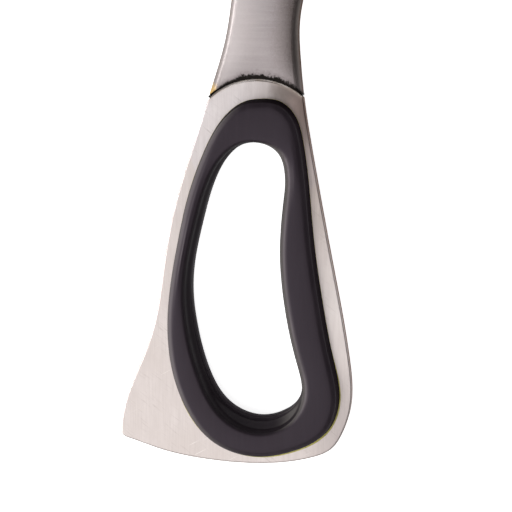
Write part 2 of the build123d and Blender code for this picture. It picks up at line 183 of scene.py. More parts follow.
# Weld heat on the shank:
HALO_NEAR = (0.15, 0.120, 0.125)
HALO_FAR = (0.20, 0.17, 0.17)
OXIDE_BLACK = (0.024, 0.020, 0.018)
STRAW = (0.62, 0.42, 0.15)
# Handle plate:
PLATE_DARK = (0.57, 0.520, 0.517)
PLATE_LIGHT = (0.73, 0.675, 0.672)
PLATE_WARM = (0.58, 0.518, 0.500)
PLATE_LINE = (0.48, 0.435, 0.430)
PLATE_STREAK = (0.40, 0.360, 0.350)
PLATE_SCUFF = (0.95, 0.91, 0.90)
PLATE_WALL = (0.14, 0.100, 0.088)
PLATE_WALL_GLANCE = (0.35, 0.27, 0.23)
# Weld heat on the plate, painted light on its inner strip, and a darker far corner:
SMOKE = (0.22, 0.172, 0.152)
SMOKE_STRIP = (0.31, 0.240, 0.220)
BURN = (0.085, 0.058, 0.048)
# Painted light on the plate's inner strip:
INNER_STRIP_PAINTED_LIGHT = (0.84, 0.79, 0.785)
BLOTCH = (0.15, 0.128, 0.115)
WELD_RIM = (0.50, 0.42, 0.36)
# Colour of the plate's darker far inner corner:
DARKER_FAR_CORNER = (0.32, 0.275, 0.270)
# Weld:
WELD_DARK = (0.46, 0.41, 0.38)
WELD_LIGHT = (0.66, 0.60, 0.57)
WELD_BROWN = (0.34, 0.26, 0.19)
# Oxide, with painted shadow of the crevice, where the weld meets the shank:
WELD_OXIDE_AND_SHADE = (0.020, 0.016, 0.015)
# Grip mouldings:
PLASTIC_DARK = (0.0085, 0.0052, 0.0080)
PLASTIC_LIGHT = (0.0140, 0.0098, 0.0130)
PLASTIC_FLOW = (0.021, 0.0150, 0.0195)
# Painted highlight on slopes that face the bow's outer side:
PLASTIC_PAINTED_HIGHLIGHT = (0.100, 0.090, 0.086)
PLASTIC_WALL_GLANCE = (1.0, 0.90, 1.0)
PLASTIC_FACE_GLANCE = (1.0, 0.84, 1.0)
# Adhesive:
GLUE_DARK = (0.50, 0.44, 0.06)
GLUE_LIGHT = (0.70, 0.64, 0.16)


class Graph:
    """A material with short calls to add nodes and set or link their inputs."""

    def __init__(self, name, metallic=0.0):
        self.material = bpy.data.materials.new(name)
        self.material.use_nodes = True
        self.tree = self.material.node_tree
        self.shader = self.tree.nodes["Principled BSDF"]
        self.shader.inputs["Metallic"].default_value = metallic
        self.where = self.add("ShaderNodeTexCoord").outputs["Object"]

    def add(self, kind, inputs=None, **settings):
        """A node with its settings, and its inputs set or linked."""
        node = self.tree.nodes.new(kind)
        for key, value in settings.items():
            setattr(node, key, value)
        for key, value in (inputs or {}).items():
            self.put(node.inputs[key], value)
        return node

    def put(self, socket, value):
        """Links an output to the socket, or sets the socket to a plain value."""
        if isinstance(value, bpy.types.NodeSocket):
            self.tree.links.new(value, socket)
        else:
            socket.default_value = value

    def math(self, operation, a, b=0.0):
        """The result of one sum on two values."""
        return self.add("ShaderNodeMath", {0: a, 1: b}, operation=operation).outputs[0]

    def scaled(self, scale, turn=0.0):
        """Object coordinates turned about Z, then scaled, in repeats per metre."""
        turned = self.add("ShaderNodeVectorRotate", {"Vector": self.where, "Angle": -turn},
                          rotation_type="Z_AXIS").outputs["Vector"]
        return self.add("ShaderNodeVectorMath", {0: turned, 1: scale},
                        operation="MULTIPLY").outputs[0]

    def noise(self, scale, turn=0.0, detail=3.0, roughness=0.55):
        """Noise with so many repeats per metre, or per axis. It mostly lies from 0.3 to 0.7."""
        vector = self.scaled(scale if isinstance(scale, tuple) else (scale,) * 3, turn)
        return self.add("ShaderNodeTexNoise", {"Vector": vector, "Scale": 1.0, "Detail": detail,
                                               "Roughness": roughness}).outputs["Fac"]

    def spread(self, value, low, high, to_low=0.0, to_high=1.0, smooth=False):
        """The value from low to high spread over another range, and held at its ends."""
        kind = "SMOOTHSTEP" if smooth else "LINEAR"
        inputs = {"Value": value, "From Min": low, "From Max": high, "To Min": to_low,
                  "To Max": to_high}
        return self.add("ShaderNodeMapRange", inputs, interpolation_type=kind).outputs[0]

    def mix(self, factor, a, b):
        """Colour a where the factor is 0, b where it is 1."""
        node = self.add("ShaderNodeMix", data_type="RGBA")
        self.put(node.inputs["Factor"], factor)
        for socket, value in zip([s for s in node.inputs if s.type == "RGBA"], (a, b)):
            self.put(socket, (*value, 1.0) if isinstance(value, tuple) else value)
        return next(s for s in node.outputs if s.type == "RGBA")

    def reach(self, point):
        """Distance from a point, measured flat."""
        flat = self.add("ShaderNodeVectorMath", {0: self.where, 1: (1, 1, 0)},
                        operation="MULTIPLY").outputs[0]
        return self.add("ShaderNodeVectorMath", {0: flat, 1: tuple(point)},
                        operation="DISTANCE").outputs["Value"]

    def travel(self, point, direction):
        """How far past a point the surface lies in a direction."""
        along = self.add("ShaderNodeVectorMath", {0: self.where, 1: tuple(direction)},
                         operation="DOT_PRODUCT").outputs["Value"]
        return self.math("SUBTRACT", along, point.dot(direction))

    def facing(self, direction):
        """1 where the surface faces in the direction, 0 where it lies along it."""
        normal = self.add("ShaderNodeTexCoord").outputs["Normal"]
        return self.add("ShaderNodeVectorMath", {0: normal, 1: tuple(direction)},
                        operation="DOT_PRODUCT").outputs["Value"]

    def facing_up(self):
        """1 where the surface faces up or down, 0 where it is upright."""
        return self.math("ABSOLUTE", self.facing((0, 0, 1)))

    def bump(self, height, depth, strength=1.0, onto=None):
        """A bumped normal, on top of another one where given."""
        inputs = {"Height": height, "Distance": depth, "Strength": strength}
        if onto is not None:
            inputs["Normal"] = onto
        return self.add("ShaderNodeBump", inputs).outputs["Normal"]

    def finish(self, colour, roughness, normal=None):
        """The material, with these put on its shader."""
        self.put(self.shader.inputs["Base Color"], colour)
        self.put(self.shader.inputs["Roughness"], roughness)
        if normal is not None:
            self.put(self.shader.inputs["Normal"], normal)
        return self.material


class Seam:
    """The weld's arc on one half: its ends, its distance and where a point lies along it."""

    def __init__(self, half, turn):
        (x, y), self.radius = arc_of(f"{half}_weld_seam")
        self.centre = Vector((x, y, 0))
        self.inward, self.along = (Vector((*way, 0)) for way in bow_directions(half, turn))
        spots = [v.co - self.centre for v in NODES[f"{half}_weld_seam"].data.vertices]
        angles = [atan2(p.dot(self.inward), p.dot(self.along)) for p in spots]
        self.outer_end, self.inner_end = min(angles), max(angles)

    def rim_point(self, angle, out=0.0):
        """A point of the arc or out from it, at an angle from the bow's axis to its inner edge."""
        way = self.along * cos(angle) + self.inward * sin(angle)
        return self.centre + way * (self.radius + out)

    def distance(self, g):
        """Above 0 on the shank, below 0 on the plate, in metres."""
        return g.math("SUBTRACT", g.reach(self.centre), self.radius)

    def across(self, g):
        """-1 to 1, from the bow's outer edge to its inner edge."""
        return g.math("DIVIDE", g.travel(self.centre, self.inward), self.radius)


def blade_steel(name, turn, seam):
    """Satin steel with fine lines across, painted shade along its inner edge and a painted highlight
    along its outer edge, burnt at the weld.
    """
    g = Graph(name, metallic=1.0)
    lines = g.noise((90, 5200, 400), turn, 4.0, 0.7)
    coarse = g.noise((60, 900, 200), turn, 3.0)
    cloud = g.noise(70, detail=3.0)
    tone = g.math("ADD", g.spread(lines, 0.3, 0.7, 0.0, 0.5), g.spread(coarse, 0.3, 0.7, 0.0, 0.5))
    steel = g.mix(tone, SHANK_DARK, SHANK_LIGHT)
    steel = g.mix(g.spread(cloud, 0.35, 0.7, 0.0, 0.4), steel, SHANK_WARM)
    steel = blade_edges(g, steel, seam)
    steel, oxide = burnt(g, steel, seam)

    soft = g.spread(g.facing_up(), 0.85, 0.995, 0.22, 0.0)
    rough = g.math("ADD", g.spread(lines, 0.25, 0.75, 0.29, 0.42),
                   g.math("ADD", g.math("MULTIPLY", oxide, 0.35), soft))
    normal = g.bump(lines, 0.004 * MM, 0.6, g.bump(g.noise(1500), 0.04 * MM, oxide))
    g.put(g.shader.inputs["Specular Tint"], g.mix(g.facing_up(), SHANK_WALL_GLANCE, (1, 1, 1)))
    return g.finish(steel, rough, normal)


def blade_edges(g, steel, seam):
    """Painted highlight towards the outer edge, painted shade towards the inner one and on the
    roundings.
    """
    crown = g.add("ShaderNodeBevel", {"Radius": CROWN_REACH}, samples=8).outputs["Normal"]
    lean = g.add("ShaderNodeVectorMath", {0: crown, 1: seam.inward},
                 operation="DOT_PRODUCT").outputs["Value"]
    # Painted highlight along the outer edge, and painted shade along the inner edge where the top
    # rolls away.
    steel = g.mix(g.spread(lean, -0.40, -0.02, 0.60, 0.0), steel, OUTER_EDGE_PAINTED_HIGHLIGHT)
    steel = g.mix(g.spread(lean, 0.0, 0.35, 0.0, 0.72), steel, INNER_EDGE_PAINTED_SHADE)
    steel = g.mix(g.spread(lean, 0.30, 0.55, 0.0, 0.90), steel, INNER_EDGE_PAINTED_DEEP_SHADE)
    # Painted shade on the roundings, darker the more they slope.
    steel = g.mix(g.spread(g.facing_up(), 0.80, 0.998, 0.70, 0.0), steel, ROUNDING_PAINTED_SHADE)
    return g.mix(g.spread(g.facing_up(), 0.25, 0.62, 0.90, 0.0), steel, SHANK_WALL)


def burnt(g, steel, seam):
    """Ragged black oxide above the weld with a grey halo, and straw colour at its outer end."""
    off_centre = g.math("ABSOLUTE", g.math("SUBTRACT", seam.across(g), OXIDE_THICKEST_AT))
    bulk = g.spread(off_centre, 0.20, 0.80, OXIDE_MOST, OXIDE_LEAST, smooth=True)
    lumps = g.math("ADD", g.spread(g.noise(700, detail=1.0), 0.3, 0.7, -0.35, 0.35),
                   g.spread(g.noise(2300, detail=2.0), 0.3, 0.7, -0.45, 0.45))
    edge = g.math("SUBTRACT", g.math("SUBTRACT", seam.distance(g), OXIDE_FOOT),
                  g.math("MULTIPLY", bulk, g.math("ADD", lumps, 1.0)))
    steel = g.mix(g.spread(edge, 0.0, 1.5 * MM, 0.50, 0.0, smooth=True), steel, HALO_NEAR)
    steel = g.mix(g.spread(edge, 0.0, 7 * MM, 0.30, 0.0, smooth=True), steel, HALO_FAR)
    oxide = g.spread(edge, -0.35 * MM, 0.40 * MM, 1.0, 0.0, smooth=True)
    steel = g.mix(oxide, steel, OXIDE_BLACK)

    corner = seam.rim_point(seam.outer_end) + seam.along * STRAW_ABOVE
    straw = g.math("ADD", g.reach(corner), g.spread(g.noise(500), 0.3, 0.7, 0, 1.2 * MM))
    steel = g.mix(g.spread(straw, 1.9 * MM, 4.6 * MM, 0.9, 0.0, smooth=True), steel, STRAW)
    return steel, oxide


def plate_steel(name, turn, seam):
    """Pale mottled plate with faint lines along the bow, smoked by the weld, with dark cut edges."""
    g = Graph(name, metallic=1.0)
    lines = g.noise((3600, 110, 400), turn, 4.0, 0.7)
    cloud = g.noise((150, 90, 90), turn, 4.0, 0.6)
    patch = g.noise(45, detail=2.0)
    scuff = g.noise((60, 1900, 400), turn + SCUFF_SLANT, 2.0, 0.8)
    streak = g.noise((2600, 150, 400), turn + STREAK_SLANT, 3.0, 0.6)
    steel = g.mix(g.spread(cloud, 0.3, 0.7), PLATE_DARK, PLATE_LIGHT)
    steel = g.mix(g.spread(patch, 0.4, 0.75, 0.0, 0.5), steel, PLATE_WARM)
    steel = g.mix(g.spread(lines, 0.45, 0.8, 0.0, 0.45), steel, PLATE_LINE)
    streaked = g.math("MULTIPLY", g.spread(streak, 0.58, 0.70), g.spread(cloud, 0.42, 0.6, 0.0, 0.6))
    steel = g.mix(streaked, steel, PLATE_STREAK)
    scuffed = g.math("MULTIPLY", g.spread(scuff, 0.66, 0.74), g.spread(patch, 0.50, 0.62))
    steel = g.mix(scuffed, steel, PLATE_SCUFF)
    steel = smoked(g, steel, seam)

    edge = g.spread(g.facing_up(), 0.25, 0.75, 0.90, 0.0)
    steel = g.mix(edge, steel, PLATE_WALL)
    g.put(g.shader.inputs["Specular Tint"], g.mix(edge, (1, 1, 1), PLATE_WALL_GLANCE))
    rough = g.spread(g.math("ADD", g.math("MULTIPLY", lines, 0.5), g.math("MULTIPLY", cloud, 0.5)),
                     0.3, 0.7, 0.32, 0.47)
    normal = g.bump(lines, 0.004 * MM, 0.5, g.bump(cloud, 0.02 * MM, 0.4))
    return g.finish(steel, rough, normal)


def smoked(g, steel, seam):
    """Smoke by the weld's inner end and down that edge, painted light on a stretch of the inner strip,
    and a darker far corner.
    """
    end = seam.rim_point(seam.inner_end)
    down, inward = g.travel(end, -seam.along), g.travel(end, seam.inward)

    near = g.spread(g.reach(end), 3 * MM, 18 * MM, 0.80, 0.0, smooth=True)
    uneven = g.spread(g.noise(130), 0.3, 0.7, 0.6, 1.0)
    steel = g.mix(g.math("MULTIPLY", near, uneven), steel, SMOKE)
    strip = g.math("MULTIPLY", g.spread(down, 0.0, 46 * MM, 0.95, 0.0),
                   g.spread(inward, -9 * MM, -2 * MM, 0.0, 1.0, smooth=True))
    steel = g.mix(strip, steel, SMOKE_STRIP)
    burn = g.math("MULTIPLY", g.spread(down, 3 * MM, 17 * MM, 0.85, 0.0, smooth=True),
                  g.spread(inward, -3.2 * MM, 1.0 * MM))
    steel = g.mix(burn, steel, BURN)

    # Painted light on a stretch of the inner strip, lifting the grip's shadow there.
    off_middle = g.math("ABSOLUTE", g.math("SUBTRACT", down, PAINTED_LIGHT_AT))
    painted_light_mask = g.math("MULTIPLY", g.spread(inward, -8 * MM, 0.0),
                    g.spread(off_middle, 0.0, 18 * MM, 0.55, 0.0))
    steel = g.mix(painted_light_mask, steel, INNER_STRIP_PAINTED_LIGHT)

    spot = seam.rim_point(BLOTCH_ANGLE) - seam.along * BLOTCH_BELOW
    blotch = g.math("ADD", g.reach(spot), g.spread(g.noise(420), 0.3, 0.7, -0.9 * MM, 0.9 * MM))
    steel = g.mix(g.spread(blotch, 0.8 * MM, 5.6 * MM, 0.66, 0.0, smooth=True), steel, BLOTCH)
    rim = g.spread(seam.distance(g), -1.2 * MM, -0.2 * MM, 0.0, 0.30, smooth=True)
    steel = g.mix(rim, steel, WELD_RIM)

    # Darker towards the plate's far inner corner.
    corner = g.math("MULTIPLY", g.spread(down, 70 * MM, 98 * MM, 0.0, 0.95, smooth=True),
                    g.spread(inward, -14 * MM, 4 * MM))
    return g.mix(corner, steel, DARKER_FAR_CORNER)


def weld_steel(name, seam):
    """Ground-back weld metal: straw and brown, black where it meets the shank with oxide and painted
    shadow in the crevice.
    """
    g = Graph(name, metallic=1.0)
    grain = g.noise(2200, detail=4.0)
    steel = g.mix(g.spread(grain, 0.35, 0.65), WELD_DARK, WELD_LIGHT)
    steel = g.mix(g.spread(g.noise(380), 0.45, 0.65, 0.0, 0.5), steel, WELD_BROWN)
    ragged = g.math("ADD", seam.distance(g), g.spread(grain, 0.2, 0.8, -0.15 * MM, 0.15 * MM))
    # Black where the weld meets the shank: oxide and painted shadow in the crevice.
    steel = g.mix(g.spread(ragged, -0.10 * MM, 0.12 * MM, 0.0, 1.0, smooth=True), steel, WELD_OXIDE_AND_SHADE)
    return g.finish(steel, g.spread(grain, 0.3, 0.7, 0.40, 0.70), g.bump(grain, 0.03 * MM, 0.6))


def grip_plastic(name, turn, outward, wall):
    """Dark moulded plastic with a fine satin skin, faint flow lines and a painted highlight on slopes
    that face the outer side.
    """
    g = Graph(name)
    skin = g.noise(6500, detail=2.0)
    flow = g.noise((700, 60, 100), turn, 3.0)
    patch = g.noise(90, detail=2.0)
    colour = g.mix(g.spread(patch, 0.3, 0.7), PLASTIC_DARK, PLASTIC_LIGHT)
    colour = g.mix(g.spread(flow, 0.5, 0.75, 0.0, 0.6), colour, PLASTIC_FLOW)
    # Upright walls take the given wall colour; the back moulding's paler one is painted light.
    colour = g.mix(g.spread(g.facing_up(), 0.2, 0.7, 0.8, 0.0), colour, wall)
    # Painted highlight on slopes that face the outer side: the outer bevel and the rounding on the
    # hole's inner side.
    highlight_mask = g.math("MULTIPLY", g.spread(g.facing(outward), 0.10, 0.55, 0.0, 0.90, smooth=True),
                  g.spread(g.facing_up(), 0.20, 0.45))
    colour = g.mix(highlight_mask, colour, PLASTIC_PAINTED_HIGHLIGHT)
    rough = g.spread(g.math("ADD", g.math("MULTIPLY", flow, 0.6), g.math("MULTIPLY", patch, 0.4)),
                     0.3, 0.7, 0.40, 0.55)
    normal = g.bump(skin, 0.006 * MM, 0.35, g.bump(flow, 0.02 * MM, 0.25))
    g.put(g.shader.inputs["Specular IOR Level"], g.spread(g.facing_up(), 0.35, 0.85, 0.01, 0.45))
    glance = g.mix(g.spread(g.facing_up(), 0.35, 0.85), PLASTIC_WALL_GLANCE, PLASTIC_FACE_GLANCE)
    g.put(g.shader.inputs["Specular Tint"], glance)
    return g.finish(colour, rough, normal)


def turned_metal(name, dark, light, rough):
    """Metal turned on a lathe: fine rings about the pivot axis, and a few handling marks."""
    g = Graph(name, metallic=1.0)
    rings = g.math("MULTIPLY", g.reach((0, 0, 0)), RINGS_PER_METRE)
    line = g.add("ShaderNodeTexNoise", {"W": rings, "Scale": 1.0, "Detail": 3.0},
                 noise_dimensions="1D").outputs["Fac"]
    marks = g.noise(420, detail=4.0)
    colour = g.mix(line, dark, light)
    colour = g.mix(g.spread(marks, 0.6, 0.8, 0.0, 0.4), colour, dark)
    return g.finish(colour, g.spread(marks, 0.3, 0.7, rough - 0.06, rough + 0.08),
                    g.bump(line, 0.008 * MM, 0.5))


def moulded(name, dark, light, rough):
    """Small moulded piece in nylon or rubber."""
    g = Graph(name)
    skin = g.noise(3500, detail=3.0)
    colour = g.mix(g.spread(g.noise(300), 0.3, 0.7), dark, light)
    return g.finish(colour, g.spread(skin, 0.3, 0.7, rough - 0.05, rough + 0.07),
                    g.bump(skin, 0.01 * MM, 0.4))


def glue_film(name):
    """Cured yellow adhesive."""
    g = Graph(name)
    colour = g.mix(g.spread(g.noise(400), 0.35, 0.65), GLUE_DARK, GLUE_LIGHT)
    return g.finish(colour, g.spread(g.noise(900), 0.3, 0.7, 0.3, 0.5))


def dress(node, material):
    """Gives a CAD node its material."""
    data = NODES[node].data
    data.materials.clear()
    data.materials.append(material)
    data.shade_smooth()
    data.set_sharp_from_angle(angle=CAD_SHARP_ANGLE)


# --- outlines read from the frame --------------------------------------------------------------
WAVES_KEPT = 36                                    # smooths an outline, and keeps its bends
LEVEL_TOLERANCE = 0.02 * MM
FLAT = 0.99                                        # a flat face's normal is at least this upright


def face_loops(node, height):
    """Closed outlines of a CAD node's flat face at that height, largest first."""
    mesh = NODES[node].data
    points = [v.co for v in mesh.vertices]
    keys = [(round(p.x, 6), round(p.y, 6)) for p in points]
    used = {}
    for polygon in mesh.polygons:
        level = all(abs(points[i].z - height) < LEVEL_TOLERANCE for i in polygon.vertices)
        if level and abs(polygon.normal.z) > FLAT:
            corners = [keys[i] for i in polygon.vertices]
            for a, b in zip(corners, corners[1:] + corners[:1]):
                used[(a, b)] = used.get((a, b), 0) + 1
    after = {a: b for (a, b) in used if (b, a) not in used}
    loops = []
    while after:
        start = next(iter(after))
        loop, here = [start], after.pop(start)
        while here != start and here in after:
            loop.append(here)
            here = after.pop(here)
        loops.append(np.array(loop))
    return sorted(loops, key=lambda p: -abs(signed_area(p)))


def signed_area(p):
    """Area inside a loop, above 0 where it runs counter-clockwise."""
    q = np.roll(p, -1, axis=0)
    return 0.5 * float(np.sum(p[:, 0] * q[:, 1] - q[:, 0] * p[:, 1]))


def even_loop(points, count, start_angle):
    """The loop counter-clockwise, evenly spaced and smoothed, from the given direction."""
    p = points if signed_area(points) > 0 else points[::-1]
    closed = np.vstack([p, p[:1]])
    run = np.concatenate([[0], np.cumsum(np.hypot(*np.diff(closed, axis=0).T))])
    at = np.linspace(0, run[-1], count, endpoint=False)
    z = np.interp(at, run, closed[:, 0]) + 1j * np.interp(at, run, closed[:, 1])
    waves = np.fft.fft(z)
    waves[WAVES_KEPT:-WAVES_KEPT] = 0
    z = np.fft.ifft(waves)
    first = int(np.argmax((z * np.exp(-1j * start_angle)).real))
    z = np.roll(z, -first)
    return np.column_stack([z.real, z.imag])


def offset(loop, amount):
    """A counter-clockwise loop moved out by amount, which may differ from point to point."""
    ahead, behind = np.roll(loop, -1, axis=0), np.roll(loop, 1, axis=0)
    d = ahead - behind
    d /= np.hypot(*d.T)[:, None]
    return loop + np.column_stack([d[:, 1], -d[:, 0]]) * np.reshape(amount, (-1, 1))


def fit_circle(points):
    """Centre and radius of the circle through points, by least squares."""
    rows = np.column_stack([2 * points, np.ones(len(points))])
    (x, y, c), *_ = np.linalg.lstsq(rows, np.sum(points**2, axis=1), rcond=None)
    return (float(x), float(y)), float(np.sqrt(c + x * x + y * y))


def arc_of(node):
    """Centre and radius of the middle of a curved strip, from its own upper face."""
    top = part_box(node)[1].z
    points = np.array([v.co[:2] for v in NODES[node].data.vertices
                       if abs(v.co.z - top) < LEVEL_TOLERANCE])
    centre, _ = fit_circle(points)
    near = np.hypot(*(points - centre).T)
    return centre, float((near.min() + near.max()) / 2)


# --- meshes ------------------------------------------------------------------------------------
PIECE_SHARP_ANGLE = radians(40)


def add_piece(name, points, faces, material):
    """A smooth-shaded mesh object, sharp only where it turns by more than the sharp angle."""
    mesh = bpy.data.meshes.new(name)
    mesh.from_pydata(points, [], faces)
    mesh.validate()
    mesh.materials.append(material)
    mesh.shade_smooth()
    mesh.set_sharp_from_angle(angle=PIECE_SHARP_ANGLE)
    piece = bpy.data.objects.new(name, mesh)
    bpy.context.scene.collection.objects.link(piece)
    return piece


def quads(row, next_row, count):
    """The quads between two loops of that many points."""
    return [(row * count + k, row * count + (k + 1) % count,
             next_row * count + (k + 1) % count, next_row * count + k) for k in range(count)]


def skin_ring(name, loops, material):
    """A mesh skinned over loops of equal length, and from the last one back to the first."""
    rows = len(loops)
    faces = [face for row in range(rows) for face in quads(row, (row + 1) % rows, len(loops[0]))]
    return add_piece(name, np.vstack(loops).tolist(), faces, material)


# Grip sections, in millimetres. Outer wall: (in from the foot, height above the plate). Inner
# wall: (share of the inner run out from the parting edge, height above the parting plane).
# Lip of the back moulding: (share of its stand-in, out from the parting edge, height).
OUTER_WALL = [(0.10, 0.0), (0.0, 0.12), (0.04, 0.45), (0.18, 1.5), (0.36, 2.7), (0.50, 3.6),
              (0.56, 4.02), (0.64, 4.24), (0.80, 4.41), (1.04, 4.55), (1.32, 4.70), (1.60, 4.84),
              (1.88, 4.94), (2.20, 5.0)]
INNER_WALL = [(0.97, 4.80), (0.93, 4.0), (0.87, 3.3), (0.78, 2.80), (0.66, 2.40), (0.53, 2.02),
              (0.40, 1.64), (0.27, 1.24), (0.15, 0.82), (0.05, 0.42), (0.04, 0.16)]
BACK_LIP = [(0.0, 0.10, -0.14), (0.30, 0.0, -0.28), (0.68, 0.0, -0.65), (0.92, 0.0, -1.2),
            (1.0, 0.0, -2.0), (1.0, 0.0, -3.0), (0.85, 0.0, -4.1), (0.5, 0.05, -5.0),
            (0.2, 0.20, -5.6), (0.0, 0.50, -6.05), (0.0, 1.05, -6.35), (0.0, 1.7, -6.47),
            (0.0, 2.2, -6.5)]
INNER_RUN = {"pivot_end": 0.55, "inner_side": 0.45, "outer_side": 0.85, "far_end": 2.2}
INNER_ROUNDING = {"pivot_end": 1.1, "inner_side": 2.3, "outer_side": 1.15, "far_end": 1.0}
LIP_STAND_IN = {"pivot_end": 0.0, "inner_side": 0.0, "outer_side": 0.5, "far_end": 0.75}
HOLE_WIDER = {"pivot_end": 0.0, "inner_side": 0.2, "outer_side": 0.0, "far_end": 0.6}
ROUNDING_STEPS = 6
ROUNDING_SWEEP = radians(78)          # of the rounding between the face and the inner wall
GRIP_POINTS = 420
GRIP_TOP = 6.5                        # the face above the parting plane
FOOT_OUT = 1.5                        # the foot stands out from the edge of the face
PARTING_IN = 2.29                     # the parting edge stands in from the face's inner edge
PARTING_GAP = 0.06                    # from the parting plane to either moulding
UNDER_IN = 0.6                        # from the parting edge to where the hidden face starts
TONGUE_IN = 2.2                       # from the foot to the tongue that goes through the plate
CROWN = 0.10                          # the face stands this much above flat along its middle
FRONT_FACE_SHARES = (0.15, 0.35, 0.5, 0.65, 0.85)
BACK_FACE_SHARES = (0.2, 0.5, 0.8)
LIP_STARTS = (0.42, 0.66)             # shares of the hole's length, from the pivot end
LIP_FACES = (-0.9, -0.3)              # how far its edge faces the outer side, none to full lip

# Adhesive: how far it spills at each side, in millimetres, and its section (out from the
# foot, share of the spill, height above the plate). It grows along the hole between the starts.
GLUE_SPILL = {"pivot_end": 0.0, "inner_side": 0.30, "outer_side": 0.60, "far_end": 0.62}
GLUE_LEAST = 0.01
GLUE_STARTS = (0.66, 0.88)
GLUE_SECTION = [(-0.30, 0.0, 0.0), (0.02, 1.0, 0.0), (0.0, 0.9, 0.05), (-0.05, 0.5, 0.10),
                (-0.30, 0.0, 0.12)]

# Weld bead, in millimetres: (out from the arc, rise from its foot).
BEAD_SECTION = [(-0.42, 0.00), (-0.40, 0.30), (-0.25, 0.36), (0.0, 0.50), (0.25, 0.72), (0.44, 0.95)]
BEAD_PROUD = 0.3                      # how far the CAD seam stands above either face of the plate
BEAD_SINK = 0.25                      # its foot lies this far inside the plate
BEAD_STEPS = 140
BEAD_TRIM = (0.022, 0.008)            # radians left off at the outer and the inner end
BEAD_SEED = 7
BEAD_SMOOTHING = 5                    # steps that share a random draw
BEAD_HELD = 0.4                       # points at least this far out stay on the arc's line
BEAD_SIDEWAYS, BEAD_RISE = 0.05, 0.10 # millimetres, and share of the rise, for a wobble of 1


class GripLines:
    """Outlines of one half's grip, and values that change from side to side of its hole."""

    def __init__(self, half, turn):
        grip = f"{half}_grip_front"
        outer_face, inner_face = face_loops(grip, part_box(grip)[1].z)[:2]
        start = turn + pi / 2
        self.foot = offset(even_loop(outer_face, GRIP_POINTS, start), FOOT_OUT * MM)
        hole = even_loop(inner_face, GRIP_POINTS, start)
        inward, along = bow_directions(half, turn)
        normal = offset(hole, 1.0) - hole
        ends = hole @ along
        self.position = (ends.max() - ends) / np.ptp(ends)
        to_inner, to_far = normal @ inward, normal @ -along
        self.weights = {"inner_side": np.clip(to_inner, 0, 1) ** 2,
                        "outer_side": np.clip(-to_inner, 0, 1) ** 2,
                        "far_end": np.clip(to_far, 0, 1) ** 2,
                        "pivot_end": np.clip(-to_far, 0, 1) ** 2}
        lower = ramp(self.position, *LIP_STARTS)
        self.lip = self.blend(LIP_STAND_IN) * lower * ramp(-to_inner, *LIP_FACES)
        self.run = self.blend(INNER_RUN)
        self.rounding = self.blend(INNER_ROUNDING)
        self.parting = offset(hole, self.blend(HOLE_WIDER) - PARTING_IN * MM)
        self.plate_bottom, self.plate_top = (c.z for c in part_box(f"{half}_handle_frame"))
        self.middle = (self.plate_bottom + self.plate_top) / 2

    def blend(self, sizes):
        """Each side's size in millimetres, blended round the hole, in metres."""
        return sum(self.weights[name] * size for name, size in sizes.items()) * MM

    def inner_wall(self):
        """The front moulding's loops from the face down to the parting plane."""
        loops = []
        for angle in np.linspace(0, ROUNDING_SWEEP, ROUNDING_STEPS):
            out = self.run + self.rounding * (1 - sin(angle))
            level = self.middle + GRIP_TOP * MM - self.rounding * (1 - cos(angle))
            loops.append(raised(offset(self.parting, out), level))
        for share, z in INNER_WALL:
            loops.append(raised(offset(self.parting, share * self.run), self.middle + z * MM))
        return loops


def ramp(value, low, high):
    """0 below low, 1 above high, and smooth between."""
    t = np.clip((value - low) / (high - low), 0, 1)
    return t * t * (3 - 2 * t)


def raised(loop, z):
    """A flat loop at a height, which may differ from point to point."""
    return np.column_stack([loop, np.broadcast_to(z, len(loop))])


def hidden_loops(lines, level, plate_level):
    """The face at the parting plane, and the tongue up to the plate's face."""
    tongue = offset(lines.foot, -TONGUE_IN * MM)
    return [raised(offset(lines.parting, UNDER_IN * MM), level), raised(tongue, level),
            raised(tongue, plate_level)]


def grip_front(half, lines, material):
    """The front moulding: outer wall, crowned face and inner wall."""
    loops = [raised(offset(lines.foot, -d * MM), lines.plate_top + z * MM) for d, z in OUTER_WALL]
    edge, inner = loops[-1], lines.inner_wall()
    for share in FRONT_FACE_SHARES:
        across = edge * (1 - share) + inner[0] * share
        across[:, 2] += CROWN * MM * (1 - (2 * share - 1) ** 2)
        loops.append(across)
    loops += inner + hidden_loops(lines, lines.middle + PARTING_GAP * MM, lines.plate_top)
    return skin_ring(f"{half}_grip_front_moulding", loops, material)


def grip_back(half, lines, material):
    """The back moulding: outer wall, flat underside, and a lip that stands into the hole."""
    loops = [raised(offset(lines.foot, -d * MM), lines.plate_bottom - z * MM) for d, z in OUTER_WALL]
    edge = loops[-1]
    lip = [raised(offset(lines.parting, d * MM - share * lines.lip), lines.middle + z * MM)
           for share, d, z in BACK_LIP][::-1]
    for share in BACK_FACE_SHARES:
        loops.append(edge * (1 - share) + lip[0] * share)
    loops += lip + hidden_loops(lines, lines.middle - PARTING_GAP * MM, lines.plate_bottom)
    return skin_ring(f"{half}_grip_back_moulding", loops[::-1], material)


def glue_line(half, lines, material):
    """The thin film of adhesive squeezed out round the foot of the front moulding."""
    spill = GLUE_LEAST * MM + lines.blend(GLUE_SPILL) * ramp(lines.position, *GLUE_STARTS)
    loops = [raised(offset(lines.foot, d * MM + share * spill), lines.plate_top + z * MM)
             for d, share, z in GLUE_SECTION]
    return skin_ring(f"{half}_glue_line", loops, material)


def bead_row(seam, angle, wobble, levels):
    """The bead's closed section at one angle: over the plate's top, then under its bottom."""
    row = []
    for level, way in zip(levels, (1, -1)):
        for out, rise in BEAD_SECTION[::way]:
            sideways = BEAD_SIDEWAYS * wobble if abs(out) < BEAD_HELD else 0.0
            spot = seam.rim_point(angle, (out + sideways) * MM)
            height = (rise - BEAD_SINK) * MM * (1 + BEAD_RISE * wobble)
            row.append((spot.x, spot.y, level + way * height))
    return row


